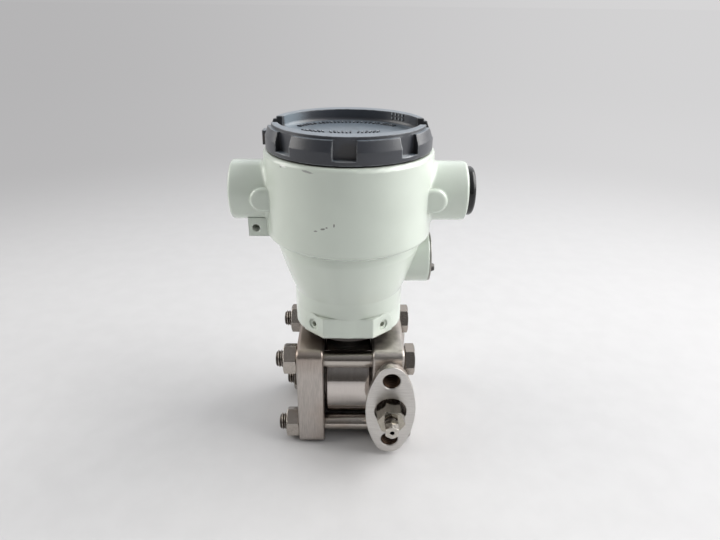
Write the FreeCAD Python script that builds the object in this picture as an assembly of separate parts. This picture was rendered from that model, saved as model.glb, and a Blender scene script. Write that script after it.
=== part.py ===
import FreeCAD
import Part
import math
import os
from FreeCAD import Vector

# Pressure transmitter: a round cast housing with a screwed cover stands on a measuring capsule,
# which four long bolts clamp between a process flange and a plain reference flange.
# Lengths are in millimetres. The layout is about the centre of the capsule: X runs along the flange
# bolts, Y runs away from the vent valve and Z runs up the housing. The saved solids are shifted so
# that the origin is the centre of the rear process port's mouth, where its gasket seats.

# Flanges and the bolts that clamp them
flange_size = 65.4
flange_corner = 5.0
flange_edge = 1.6
flange_inner_edge = 1.2
process_thickness = 18.2
reference_thickness = 15.5
flange_gap = 28.4
chamber_radius = 15.0
chamber_depth = 3.0
bolt_inset = 9.45
bolt_diameter = 10.0
bolt_hole_clearance = 0.5
hex_across_flats = 16.0
hex_chamfer = 0.9
head_height = 6.0
head_turn = 30.0
nut_height = 7.6
nut_turns = (0.0, -8.0, 24.0, -20.0)
bolt_past_nut = 4.5
bolt_end_chamfer = 1.2

# Oval connections at the front and the back of the process flange
oval_reach = 42.0
oval_offset = 10.3
oval_width = 28.6
oval_height = 60.0
oval_tip_radius = 9.0
oval_rim = 4.0
oval_root_width = 14.6
oval_root_height = 50.0
oval_hole_spacing = 41.3
oval_hole_radius = 4.9
oval_hole_wall = 1.25
oval_hole_mouth = 0.5
gasket_recess_radius = 9.2
gasket_recess_depth = 3.0
port_radius = 5.6
port_depth = 16.0
channel_radius = 2.0

# Vent valve in the front port
vent_hex = 14.0
vent_hex_turn = 9.0
vent_hex_reach = 10.0
vent_plug_length = 13.0
vent_bore_radius = 3.6
vent_seat_radius = 1.6
vent_stem_radius = 3.5
vent_stem_length = 12.0
vent_tip_hex = 7.4
vent_tip_length = 6.5
vent_neck_radius = 2.9
vent_neck_length = 1.5
vent_hole_radius = 1.3
vent_hole_depth = 9.0
vent_ball_radius = 2.2
vent_ball_gap = 0.1

# Measuring capsule with its stem and the spigot that carries the housing
capsule_bolt_gap = 0.88
capsule_width = 26.4
capsule_edge = 0.8
register_radius = 21.0
seal_inner_radius = 16.6
seal_outer_radius = 19.6
seal_depth = 2.0
diaphragm_radius = 15.6
diaphragm_thickness = 0.4
diaphragm_well = 1.6
diaphragm_wave_height = 0.5
stem_radius = 12.0
shoulder_radius = 25.0
shoulder_height = 3.6
spigot_radius = 22.0
spigot_height = 19.5
spigot_groove_depth = 1.6
spigot_groove_width = 6.6
neck_seal_section = 1.3
neck_seal_drop = 4.6
header_radius = 10.0
header_height = 4.0
header_inset = 3.0
header_pin_count = 8
header_pin_radius = 0.5
header_pin_circle = 6.0
header_pin_height = 5.0
turning_clearance = 0.08
turning_gap = 0.1

# Housing casting, heights above its bottom face and drops below its top
housing_bottom = 40.0
neck_radius = 31.2
neck_height = 23.0
cone_radius = 39.6
cone_height = 48.5
step_height = 56.8
step_slope = 3.4
step_edge = 2.0
barrel_radius = 45.4
housing_height = 102.3
rim_round = 2.2
front_flat = 27.6
pad_height = 12.3
pad_face = 29.9
pad_round = 7.0
neck_front = 27.85
blend_height = 11.5
lower_wall = 5.0
lower_floor = 23.0
passage_radius = 14.0
chamber_floor = 59.0
chamber_wall = 7.2
cover_bore_radius = 39.7
cover_bore_depth = 14.3
cover_seal_bore_radius = 42.1
cover_seal_bore_depth = 1.7

# Set screws that lock the neck on the spigot
set_screw_turn = 41.6
set_screw_height = 6.0
set_screw_radius = 3.0
set_screw_sink = 0.8
set_screw_tip_gap = 0.3
set_screw_socket = 3.0
set_screw_socket_depth = 2.6

# Conduit entries on both sides of the barrel
conduit_drop = 23.7
conduit_radius = 16.2
conduit_reach = 63.3
conduit_edge = 1.5
conduit_root = 2.0
conduit_bore_radius = 9.3
lug_reach = 51.7
lug_front = 19.4
lug_drop = 6.8
lug_lift = 5.8
lug_edge = 2.2

# Earthing lug under the left conduit entry
earth_reach = 54.7
earth_front = 10.0
earth_back = 4.0
earth_top_drop = 13.2
earth_height = 10.6
earth_hole_x = 50.6
earth_hole_drop = 19.1
earth_hole_radius = 2.1
earth_hole_depth = 8.0

# Adjuster boss on the right of the cone, its cover plate and the adjuster
boss_radius = 14.5
boss_height = 39.2
boss_reach = 45.3
boss_edge = 0.8
plate_radius = 14.1
plate_thickness = 0.8
plate_gap = 0.1
plate_screw_y = -2.0
plate_screw_drop = 6.4
plate_screw_radius = 1.5
plate_screw_head_radius = 2.5
plate_screw_head_height = 3.2
plate_screw_depth = 7.0
adjuster_rise = 8.0
adjuster_radius = 2.4
adjuster_head_radius = 3.4
adjuster_head_height = 2.4
adjuster_sink = 0.6
adjuster_end = 28.6

# Black plug in the right conduit entry
plug_flange_radius = 13.3
plug_flange_height = 4.2
plug_round = 2.2
plug_dish_radius = 9.6
plug_dish_depth = 0.9
plug_body_length = 13.0
plug_body_wall = 2.0
plug_clearance = 0.1
plug_seat_gap = 0.1

# Screwed cover with pockets round its edge and two wrench slots
cover_radius = 43.8
cover_lift = 0.9
cover_base_height = 2.2
cover_side_height = 6.2
cover_lug_height = 11.4
cover_lug_radius = 42.0
cover_disc_radius = 40.3
cover_height = 12.8
recess_half_width = 37.4
recess_half_depth = 33.2
cover_recess_depth = 6.6
recess_round = 2.4
cover_roof = 3.2
pocket_count = 8
pocket_width = 11.0
cover_turn = -2.2
slot_width = 16.6
cover_spigot_length = 12.0
cover_spigot_clearance = 0.2
cover_spigot_wall = 3.2
seal_tab_radius = 45.4
seal_tab_width = 6.0
seal_tab_height = 7.4
cover_seal_section = 1.0
cover_seal_gap = 0.1

# Terminal block and amplifier inside the housing
block_clearance = 0.2
block_height = 5.0
block_ridge_height = 3.6
block_ridge_width = 2.0
block_ridge_length = 17.0
terminal_count = 4
terminal_pitch = 11.0
terminal_radius = 2.0
terminal_head_radius = 3.6
terminal_head_height = 2.4
block_screw_circle = 30.0
block_screw_radius = 1.5
block_screw_head_radius = 2.8
block_screw_head_height = 2.0
block_screw_depth = 4.5
board_radius = 27.0
board_thickness = 1.6
post_count = 3
post_circle = 21.0
post_across_flats = 5.5
post_height = 21.5
post_screw_radius = 1.5
post_screw_head_radius = 2.7
post_screw_head_height = 1.8
post_screw_depth = 5.0
trimmer_size = 8.0
chip_length = 14.0
chip_width = 10.0
chip_height = 2.5
lead_width = 10.0
lead_thickness = 1.2
lead_socket_size = 15.0
lead_socket_height = 5.0
lead_socket_gap = 0.4

# Places that follow from the sizes above
flange_half = flange_size / 2
gap_half = flange_gap / 2
process_outer = gap_half + process_thickness
reference_outer = gap_half + reference_thickness
bolt_half = flange_half - bolt_inset
bolt_radius = bolt_diameter / 2
capsule_radius = math.hypot(bolt_half, bolt_half) - bolt_radius - capsule_bolt_gap
port_x = gap_half + oval_offset
oval_hole_depth = oval_reach - bolt_half - bolt_radius - bolt_hole_clearance - oval_hole_wall
housing_top = housing_bottom + housing_height
step_z = housing_bottom + step_height
conduit_z = housing_top - conduit_drop
boss_z = housing_bottom + boss_height
chamber_floor_z = housing_bottom + chamber_floor
lower_floor_z = housing_bottom + lower_floor
chamber_inner_radius = barrel_radius - chamber_wall
shoulder_top = housing_bottom - turning_gap
spigot_top = shoulder_top + spigot_height
socket_top = spigot_top + turning_gap
set_screw_z = housing_bottom + set_screw_height
cover_base = housing_top + cover_lift
cover_top = cover_base + cover_height
adjuster_z = boss_z + adjuster_rise
board_z = lower_floor_z + post_height
x_axis = Vector(1, 0, 0)
y_axis = Vector(0, 1, 0)
z_axis = Vector(0, 0, 1)
origin = Vector(port_x, oval_reach - gasket_recess_depth, 0)


def save(name, *solids):
    # Write one node, shifted so that the process port's mouth is the origin.
    moved = []
    for solid in solids:
        copy = solid.copy()
        copy.translate(-origin)
        moved.extend(copy.Solids)
    shape = moved[0] if len(moved) == 1 else Part.makeCompound(moved)
    shape.exportStep("parts/" + name + ".step")


def rod(radius, length, base, direction):
    return Part.makeCylinder(radius, length, base, direction)


def block(low, high):
    return Part.makeBox(high.x - low.x, high.y - low.y, high.z - low.z, low)


def turned(outline, base, direction):
    # Turn an outline of (radius, height) corners about a line through base along direction.
    corners = [Vector(radius, 0, height) for radius, height in outline]
    face = Part.Face(Part.makePolygon(corners + corners[:1]))
    solid = face.revolve(Vector(), z_axis, 360)
    return placed(solid, base, direction)


def placed(solid, base, direction):
    # Stand a piece that was made on the Z axis along another direction.
    turn = FreeCAD.Rotation(z_axis, direction)
    moved = solid.copy()
    moved.Placement = FreeCAD.Placement(base, turn)
    return moved


def hexagon(across_flats, length, base, direction, turn=0.0):
    # Hexagonal prism with two corners across its local X, turned about its own axis.
    corner = across_flats / math.sqrt(3)
    corners = []
    for side in range(6):
        angle = math.radians(60 * side + turn)
        corners.append(Vector(corner * math.cos(angle), corner * math.sin(angle), 0))
    face = Part.Face(Part.makePolygon(corners + corners[:1]))
    return placed(face.extrude(Vector(0, 0, length)), base, direction)


def chamfered_hexagon(across_flats, length, base, direction, turn, both_ends):
    # Hexagon whose corners are turned off at its outer end, or at both ends.
    corner = across_flats / math.sqrt(3)
    flat = across_flats / 2
    drop = hex_chamfer * (corner - flat) / (corner - flat + hex_chamfer)
    low = (flat, 0.0) if both_ends else (corner, 0.0)
    outline = [(0, 0), low, (corner, drop), (corner, length - drop), (flat, length), (0, length)]
    if not both_ends:
        outline.remove((corner, drop))
    envelope = turned(outline, base, direction)
    return hexagon(across_flats, length, base, direction, turn).common(envelope)


def torus(ring_radius, section, base, direction):
    return Part.makeTorus(ring_radius, section, base, direction)


def tube(outer, inner, length, base, direction):
    return rod(outer, length, base, direction).cut(rod(inner, length, base, direction))


def edges_where(shape, test):
    # Edges whose ends, and so whose run, all pass a test on position.
    return [edge for edge in shape.Edges if all(test(corner.Point) for corner in edge.Vertexes)]


def straight_along(shape, direction):
    # Straight edges that run along a direction.
    found = []
    for edge in shape.Edges:
        if edge.Curve.TypeId == "Part::GeomLine":
            if abs(abs(edge.Curve.Direction.dot(direction)) - 1) < 1e-6:
                found.append(edge)
    return found


def bolt_places():
    for y in (-bolt_half, bolt_half):
        for z in (-bolt_half, bolt_half):
            yield y, z


def flange_plate(inner, outer):
    # Square plate with rounded corners, rounded over round both faces.
    low = Vector(min(inner, outer), -flange_half, -flange_half)
    high = Vector(max(inner, outer), flange_half, flange_half)
    plate = block(low, high)
    plate = plate.makeFillet(flange_corner, straight_along(plate, x_axis))
    for face, radius in ((outer, flange_edge), (inner, flange_inner_edge)):
        rim = edges_where(plate, lambda point: abs(point.x - face) < 1e-6)
        plate = plate.makeFillet(radius, rim)
    return plate


def bolt_holes(start, length):
    # Clearance holes for the flange bolts.
    radius = bolt_radius + bolt_hole_clearance
    return [rod(radius, length, Vector(start, y, z), x_axis) for y, z in bolt_places()]


def oval_outline(width, height, tip, y):
    # Pointed oval of two long arcs that run into two small end arcs, standing across the Y axis.
    half_width = width / 2
    half_height = height / 2
    centre_z = half_height - tip
    side = (centre_z ** 2 + (half_width - tip) * (half_width + tip)) / (2 * (half_width - tip))
    side_x = half_width - side
    lean = math.atan2(centre_z, -side_x)
    touch_x = tip * math.cos(lean)
    touch_z = centre_z + tip * math.sin(lean)

    def at(x, z):
        return Vector(port_x + x, y, z)

    arcs = [
        Part.Arc(at(touch_x, touch_z), at(0, half_height), at(-touch_x, touch_z)),
        Part.Arc(at(-touch_x, touch_z), at(-half_width, 0), at(-touch_x, -touch_z)),
        Part.Arc(at(-touch_x, -touch_z), at(0, -half_height), at(touch_x, -touch_z)),
        Part.Arc(at(touch_x, -touch_z), at(half_width, 0), at(touch_x, touch_z)),
    ]
    return Part.Wire([arc.toShape() for arc in arcs])


def oval_boss(side):
    # Oval end with a parallel rim, drawn in to a narrower root where it joins the plate.
    face_y = side * oval_reach
    rim_y = side * (oval_reach - oval_rim)
    root_y = side * (flange_half - flange_corner)
    root_tip = oval_tip_radius * oval_root_width / oval_width
    face = oval_outline(oval_width, oval_height, oval_tip_radius, face_y)
    rim = oval_outline(oval_width, oval_height, oval_tip_radius, rim_y)
    root = oval_outline(oval_root_width, oval_root_height, root_tip, root_y)
    end = Part.Face(face).extrude(Vector(0, rim_y - face_y, 0))
    return end.fuse(Part.makeLoft([rim, root], True, True))


def oval_cuts(side):
    # Gasket recess, tapped port and the two tapped holes of one oval face.
    inward = Vector(0, -side, 0)
    face = Vector(port_x, side * oval_reach, 0)
    cuts = [rod(gasket_recess_radius, gasket_recess_depth, face, inward)]
    cuts.append(rod(port_radius, gasket_recess_depth + port_depth, face, inward))
    cuts.append(rod(channel_radius, oval_reach, face, inward))
    mouth = oval_hole_radius + oval_hole_mouth
    for z in (-oval_hole_spacing / 2, oval_hole_spacing / 2):
        centre = face + Vector(0, 0, z)
        cuts.append(rod(oval_hole_radius, oval_hole_depth, centre, inward))
        cuts.append(Part.makeCone(mouth, oval_hole_radius, oval_hole_mouth, centre, inward))
    return cuts


def process_flange():
    body = flange_plate(gap_half, process_outer)
    for side in (-1, 1):
        body = body.fuse(oval_boss(side))
    inner_face = Vector(gap_half, 0, 0)
    cuts = [rod(chamber_radius, chamber_depth, inner_face, x_axis)]
    cuts.append(rod(channel_radius, oval_offset, inner_face, x_axis))
    cuts.extend(bolt_holes(gap_half, process_thickness))
    for side in (-1, 1):
        cuts.extend(oval_cuts(side))
    return body.cut(cuts)


def reference_flange():
    chamber = rod(chamber_radius, chamber_depth, Vector(-gap_half, 0, 0), -x_axis)
    holes = bolt_holes(-reference_outer, reference_thickness)
    return flange_plate(-gap_half, -reference_outer).cut([chamber] + holes)


def flange_bolts():
    # Hexagon-headed bolts, heads on the process flange and threads past the nuts on the other side.
    shank = process_outer + reference_outer + nut_height + bolt_past_nut
    outline = [(0, 0), (bolt_radius, 0), (bolt_radius, shank - bolt_end_chamfer)]
    outline += [(bolt_radius - bolt_end_chamfer, shank), (0, shank)]
    bolts = []
    for y, z in bolt_places():
        seat = Vector(process_outer, y, z)
        head = chamfered_hexagon(hex_across_flats, head_height, seat, x_axis, head_turn, False)
        bolts.append(head.fuse(turned(outline, seat, -x_axis)))
    return bolts


def flange_nuts():
    nuts = []
    for (y, z), turn in zip(bolt_places(), nut_turns):
        seat = Vector(-reference_outer, y, z)
        nut = chamfered_hexagon(hex_across_flats, nut_height, seat, -x_axis, turn, True)
        nuts.append(nut.cut(rod(bolt_radius, nut_height, seat, -x_axis)))
    return nuts


def capsule_body():
    # Turned capsule with a register at each end, a stem, and the spigot on which the housing turns.
    half = capsule_width / 2
    edge = capsule_radius - capsule_edge
    outline = [(0, -gap_half), (register_radius, -gap_half), (register_radius, -half), (edge, -half)]
    outline += [(capsule_radius, capsule_edge - half), (capsule_radius, half - capsule_edge)]
    outline += [(edge, half), (register_radius, half), (register_radius, gap_half), (0, gap_half)]
    body = turned(outline, Vector(), x_axis)
    groove_low = set_screw_z - spigot_groove_width / 2
    groove_high = set_screw_z + spigot_groove_width / 2
    groove = spigot_radius - spigot_groove_depth
    seal_z = spigot_top - neck_seal_drop
    seal_floor = spigot_radius - 2 * neck_seal_section
    outline = [(0, 0), (stem_radius, 0), (stem_radius, shoulder_top - shoulder_height)]
    outline += [(shoulder_radius, shoulder_top - shoulder_height), (shoulder_radius, shoulder_top)]
    outline += [(spigot_radius, shoulder_top), (spigot_radius, groove_low), (groove, groove_low)]
    outline += [(groove, groove_high), (spigot_radius, groove_high)]
    outline += [(spigot_radius, seal_z - neck_seal_section), (seal_floor, seal_z - neck_seal_section)]
    outline += [(seal_floor, seal_z + neck_seal_section), (spigot_radius, seal_z + neck_seal_section)]
    outline += [(spigot_radius, spigot_top), (0, spigot_top)]
    body = body.fuse(turned(outline, Vector(), z_axis))
    cuts = []
    for side in (-1, 1):
        face = Vector(side * gap_half, 0, 0)
        inward = Vector(-side, 0, 0)
        cuts.append(tube(seal_outer_radius, seal_inner_radius, seal_depth, face, inward))
        cuts.append(rod(diaphragm_radius, diaphragm_well, face, inward))
    header_floor = spigot_top - header_inset - header_height
    cuts.append(rod(header_radius, spigot_top - header_floor, Vector(0, 0, header_floor), z_axis))
    return body.cut(cuts)


def diaphragm(side):
    # Thin metal disc with two ring-shaped waves, seated at the bottom of its well.
    wave = diaphragm_wave_height
    thick = diaphragm_thickness
    radii = [diaphragm_radius * part for part in (0.3, 0.4, 0.5, 0.6, 0.7, 0.8)]
    lifts = [0, wave, 0, 0, wave, 0]
    lower = [(0, 0)] + list(zip(radii, lifts)) + [(diaphragm_radius, 0)]
    upper = [(radius, lift + thick) for radius, lift in reversed(lower)]
    base = Vector(side * (gap_half - diaphragm_well), 0, 0)
    return turned(lower + upper, base, Vector(side, 0, 0))


def flange_seal(side):
    face = Vector(side * gap_half, 0, 0)
    return tube(seal_outer_radius, seal_inner_radius, seal_depth, face, Vector(-side, 0, 0))


def neck_seal():
    seal_z = spigot_top - neck_seal_drop
    return torus(spigot_radius - neck_seal_section, neck_seal_section, Vector(0, 0, seal_z), z_axis)


def sensor_header():
    # Glass-sealed metal header in the top of the spigot, with a ring of contact pins.
    base = spigot_top - header_inset - header_height
    header = rod(header_radius, header_height, Vector(0, 0, base), z_axis)
    for pin in range(header_pin_count):
        angle = 2 * math.pi * pin / header_pin_count
        foot = Vector(math.cos(angle), math.sin(angle), 0) * header_pin_circle
        foot.z = base + header_height
        header = header.fuse(rod(header_pin_radius, header_pin_height, foot, z_axis))
    return header


def vent_valve_body():
    # Hexagonal valve body screwed into the front port, bored for the vent screw down to a small seat.
    floor = Vector(port_x, gasket_recess_depth - oval_reach, 0)
    front = Vector(port_x, -oval_reach - vent_hex_reach, 0)
    length = gasket_recess_depth + vent_hex_reach
    body = chamfered_hexagon(vent_hex, length, floor, -y_axis, -vent_hex_turn, False)
    body = body.fuse(rod(port_radius, vent_plug_length, floor, y_axis))
    bore = vent_stem_length + vent_ball_radius
    body = body.cut(rod(vent_bore_radius, bore, front, y_axis))
    return body.cut(rod(vent_seat_radius, length + vent_plug_length, front, y_axis))


def vent_ball():
    seat_y = vent_stem_length + vent_ball_radius - oval_reach - vent_hex_reach
    lift = math.sqrt(vent_ball_radius ** 2 - vent_seat_radius ** 2) + vent_ball_gap
    return Part.makeSphere(vent_ball_radius, Vector(port_x, seat_y - lift, 0))


def vent_screw():
    # Bored screw with a waist and a small hexagonal tip for the wrench.
    front = Vector(port_x, -oval_reach - vent_hex_reach, 0)
    lift = math.sqrt(vent_ball_radius ** 2 - vent_seat_radius ** 2) + vent_ball_gap
    depth = vent_stem_length - lift - vent_ball_gap
    stem = rod(vent_stem_radius, depth, front, y_axis)
    neck = rod(vent_neck_radius, vent_neck_length, front, -y_axis)
    tip_base = front - Vector(0, vent_neck_length, 0)
    tip = chamfered_hexagon(vent_tip_hex, vent_tip_length, tip_base, -y_axis, 90.0, True)
    screw = stem.fuse([neck, tip])
    end = tip_base - Vector(0, vent_tip_length, 0)
    return screw.cut(rod(vent_hole_radius, vent_hole_depth, end, y_axis))


def neck():
    # Foot of the casting: its front is flattened, and runs out into the round over a short height.
    sections = []
    heights = (0, blend_height, blend_height, neck_height)
    fronts = (neck_front, neck_front, neck_front, neck_radius)
    for height, front in zip(heights, fronts):
        z = housing_bottom + height
        right = Vector(neck_radius, 0, z)
        left = Vector(-neck_radius, 0, z)
        ellipse = Part.Ellipse(right, Vector(0, -front, z), Vector(0, 0, z))
        front_half = Part.Arc(ellipse, 0, math.pi).toShape()
        back_half = Part.Arc(left, Vector(0, neck_radius, z), right).toShape()
        sections.append(Part.Wire([front_half, back_half]))
    foot = Part.makeLoft(sections[:2], True, True)
    return foot.fuse(Part.makeLoft(sections[2:], True, True))


def set_screw_pads():
    # Flat-faced pads round the two set screws, joined across the front and rounded at their far ends.
    pad = rod(neck_radius, neck_height, Vector(0, 0, housing_bottom), z_axis)
    side = Vector(2 * neck_radius, 0, 0)
    front_low = Vector(0, -2 * neck_radius, housing_bottom) - side
    front_high = Vector(0, -front_flat, housing_bottom + neck_height) + side
    pad = pad.cut(block(front_low, front_high))
    shape = []
    for direction in set_screw_directions():
        base = direction * pad_face + Vector(0, 0, set_screw_z)
        pad = pad.cut(rod(neck_radius, neck_radius, base, direction))
        reach = Vector(0, 0, set_screw_z)
        shape.append(rod(pad_round, neck_radius, reach, direction))
        foot = Part.makeBox(2 * pad_round, set_screw_height, neck_radius)
        foot.translate(Vector(-pad_round, -set_screw_height, 0))
        turn = FreeCAD.Rotation(direction.cross(z_axis) * -1, z_axis, direction, "ZYX")
        foot.Placement = FreeCAD.Placement(reach, turn) * foot.Placement
        shape.append(foot)
    corners = [Vector(0, 0, housing_bottom)]
    for direction in set_screw_directions():
        corners.append(direction * (2 * neck_radius) + Vector(0, 0, housing_bottom))
    wedge = Part.Face(Part.makePolygon(corners + corners[:1])).extrude(Vector(0, 0, pad_height))
    return pad.common(wedge.fuse(shape))


def housing_outline():
    # Half section of the casting's outside above its foot: cone, step, barrel and rounded rim.
    bottom = housing_bottom + neck_height
    neck_top = Vector(neck_radius, 0, bottom)
    cone_top = Vector(cone_radius, 0, housing_bottom + cone_height)
    middle_height = (neck_height + cone_height) / 2
    bulge = (cone_radius - neck_radius) / 20
    cone_middle = Vector((neck_radius + cone_radius) / 2 + bulge, 0, housing_bottom + middle_height)
    rim = barrel_radius - rim_round
    round_mid = rim + rim_round * math.sqrt(0.5)
    round_z = housing_top - rim_round + rim_round * math.sqrt(0.5)
    line = Part.LineSegment
    edges = [
        line(Vector(0, 0, bottom), neck_top),
        Part.Arc(neck_top, cone_middle, cone_top),
        line(cone_top, Vector(cone_radius, 0, step_z - step_slope)),
        line(Vector(cone_radius, 0, step_z - step_slope), Vector(barrel_radius, 0, step_z)),
        line(Vector(barrel_radius, 0, step_z), Vector(barrel_radius, 0, housing_top - rim_round)),
        Part.Arc(
            Vector(barrel_radius, 0, housing_top - rim_round),
            Vector(round_mid, 0, round_z),
            Vector(rim, 0, housing_top),
        ),
        line(Vector(rim, 0, housing_top), Vector(0, 0, housing_top)),
        line(Vector(0, 0, housing_top), Vector(0, 0, bottom)),
    ]
    return Part.Face(Part.Wire([edge.toShape() for edge in edges]))


def housing_cavity():
    # Space inside the casting: cover thread, terminal chamber, amplifier chamber, passage and socket.
    lower_top = cone_radius - lower_wall
    lower_low = neck_radius - lower_wall
    bore_floor = housing_top - cover_bore_depth
    seal_floor = housing_top - cover_seal_bore_depth
    socket = spigot_radius + turning_clearance
    outline = [(0, housing_bottom), (socket, housing_bottom), (socket, socket_top)]
    outline += [(passage_radius, socket_top), (passage_radius, lower_floor_z)]
    outline += [(lower_low, lower_floor_z), (lower_top, chamber_floor_z)]
    outline += [(chamber_inner_radius, chamber_floor_z), (chamber_inner_radius, bore_floor)]
    outline += [(cover_bore_radius, bore_floor), (cover_bore_radius, seal_floor)]
    outline += [(cover_seal_bore_radius, seal_floor), (cover_seal_bore_radius, housing_top)]
    outline += [(0, housing_top)]
    return turned(outline, Vector(), z_axis)


def rounded_boss(radius, reach, edge, base, direction):
    # Round boss whose end edge is rounded over.
    boss = rod(radius, reach, base, direction)
    end = base + direction * reach
    rim = [line for line in boss.Edges if line.CenterOfMass.distanceToPoint(end) < 1e-6]
    return boss.makeFillet(edge, rim)


def conduit_lug(side):
    # Half-round lug cast against the front of a conduit boss.
    radius = (lug_drop + lug_lift) / 2
    centre = Vector(side * (lug_reach - radius), 0, conduit_z + (lug_lift - lug_drop) / 2)
    bar = block(Vector(0, -lug_front, centre.z - radius), Vector(lug_reach - radius, 0, centre.z + radius))
    if side < 0:
        bar = bar.mirror(Vector(), x_axis)
    lug = bar.fuse(rod(radius, lug_front, centre, -y_axis)).removeSplitter()
    front = edges_where(lug, lambda point: abs(point.y + lug_front) < 1e-6)
    outer = [edge for edge in front if abs(edge.CenterOfMass.x) > 1e-6]
    return lug.makeFillet(lug_edge, outer)


def set_screw_directions():
    for side in (-1, 1):
        angle = math.radians(-90 + side * set_screw_turn)
        yield Vector(math.cos(angle), math.sin(angle), 0)


def plate_screw_seat():
    return Vector(boss_reach, plate_screw_y, boss_z - plate_screw_drop)


def adjuster_seat():
    return Vector(boss_reach - adjuster_sink - adjuster_head_height, 0, adjuster_z)


def post_places():
    for post in range(post_count):
        angle = math.radians(90 + 360 * post / post_count)
        yield Vector(math.cos(angle), math.sin(angle), 0) * post_circle


def block_screw_places():
    for side in (-1, 1):
        yield Vector(0, side * block_screw_circle, 0)


def on_root(edge, side):
    # Whether an edge is the line where a conduit boss meets the barrel.
    box = edge.BoundBox
    beyond = box.XMin if side > 0 else -box.XMax
    reach = box.XMax if side > 0 else -box.XMin
    high = abs(box.ZMax - conduit_z - conduit_radius) < conduit_edge
    low = abs(box.ZMin - conduit_z + conduit_radius) < conduit_edge
    return (high or low) and beyond > barrel_radius / 2 and reach < barrel_radius + conduit_edge


def housing():
    # The whole casting in one piece, with its bosses, lugs, pads, bores and tapped holes.
    body = housing_outline().revolve(Vector(), z_axis, 360)
    step = [edge for edge in body.Edges if abs(edge.CenterOfMass.z - step_z) < 1e-6]
    outer_step = [edge for edge in step if edge.BoundBox.XLength > 1.9 * barrel_radius]
    body = body.makeFillet(step_edge, outer_step)
    for side in (-1, 1):
        base = Vector(0, 0, conduit_z)
        boss = rounded_boss(conduit_radius, conduit_reach, conduit_edge, base, Vector(side, 0, 0))
        body = body.fuse(boss)
        root = [edge for edge in body.Edges if on_root(edge, side)]
        body = body.makeFillet(conduit_root, root)
    boss = rounded_boss(boss_radius, boss_reach, boss_edge, Vector(0, 0, boss_z), x_axis)
    additions = [boss, neck(), set_screw_pads()]
    for side in (-1, 1):
        additions.append(conduit_lug(side))
    earth_top = conduit_z - earth_top_drop
    earth_low = Vector(-earth_reach, -earth_front, earth_top - earth_height)
    earth_high = Vector(0, earth_back, earth_top)
    additions.append(block(earth_low, earth_high))
    body = body.fuse(additions)
    cuts = [housing_cavity()]
    for direction in set_screw_directions():
        cuts.append(rod(set_screw_radius, neck_radius, Vector(0, 0, set_screw_z), direction))
    for side in (-1, 1):
        axis = Vector(side, 0, 0)
        cuts.append(rod(conduit_bore_radius, conduit_reach, Vector(0, 0, conduit_z), axis))
    earth_hole = Vector(-earth_hole_x, -earth_front, conduit_z - earth_hole_drop)
    cuts.append(rod(earth_hole_radius, earth_hole_depth, earth_hole, y_axis))
    cuts.append(rod(plate_screw_radius, plate_screw_depth, plate_screw_seat(), -x_axis))
    bore = adjuster_radius + turning_clearance
    head_bore = adjuster_head_radius + turning_clearance
    cuts.append(rod(bore, boss_reach, Vector(0, 0, adjuster_z), x_axis))
    cuts.append(rod(head_bore, boss_reach, adjuster_seat(), x_axis))
    for place in block_screw_places():
        top = place + Vector(0, 0, chamber_floor_z)
        cuts.append(rod(block_screw_radius, block_screw_depth, top, -z_axis))
    return body.cut(cuts)


def neck_set_screws():
    # Headless screws with a hexagon socket, their tips just short of the spigot's groove.
    tip = spigot_radius - spigot_groove_depth + set_screw_tip_gap
    length = pad_face - set_screw_sink - tip
    screws = []
    for direction in set_screw_directions():
        base = direction * tip + Vector(0, 0, set_screw_z)
        end = base + direction * length
        screw = rod(set_screw_radius, length, base, direction)
        screws.append(screw.cut(hexagon(set_screw_socket, set_screw_socket_depth, end, -direction)))
    return screws


def adjust_plate():
    base = Vector(boss_reach + plate_gap, 0, boss_z)
    plate = rod(plate_radius, plate_thickness, base, x_axis)
    hole = plate_screw_radius + turning_clearance
    return plate.cut(rod(hole, boss_reach, plate_screw_seat(), x_axis))


def plate_screw():
    # Round-headed screw on which the plate turns, with a cross slot in its head.
    seat = plate_screw_seat()
    head_base = seat + Vector(plate_thickness + 2 * plate_gap, 0, 0)
    shank = rod(plate_screw_radius, plate_screw_depth, seat, -x_axis)
    shank = shank.fuse(rod(plate_screw_radius, head_base.x - seat.x, seat, x_axis))
    return shank.fuse(slotted_head(plate_screw_head_radius, plate_screw_head_height, head_base, x_axis))


def slotted_head(radius, height, base, direction):
    # Low domed screw head with one straight slot across it.
    outline = [(0, 0), (radius, 0), (radius, height / 2), (radius * 0.75, height), (0, height)]
    head = turned(outline, base, direction)
    slot_width_half = radius / 6
    slot = block(Vector(-radius, -slot_width_half, height / 2), Vector(radius, slot_width_half, height))
    return head.cut(placed(slot, base, direction))


def adjuster():
    # Slotted adjuster that reaches from behind the plate to the trimmer on the board.
    seat = adjuster_seat()
    head = slotted_head(adjuster_head_radius, adjuster_head_height, seat, x_axis)
    return head.fuse(rod(adjuster_radius, seat.x - adjuster_end, seat, -x_axis))


def conduit_plug():
    # Moulded thread protector: rounded flange with a dished face, hollow body.
    face = Vector(conduit_reach + plug_seat_gap, 0, conduit_z)
    flange = rounded_boss(plug_flange_radius, plug_flange_height, plug_round, face, x_axis)
    dish_base = face + Vector(plug_flange_height - plug_dish_depth, 0, 0)
    flange = flange.cut(rod(plug_dish_radius, plug_dish_depth, dish_base, x_axis))
    body = conduit_bore_radius - plug_clearance
    return flange.fuse(tube(body, body - plug_body_wall, plug_body_length, face, -x_axis))


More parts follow.
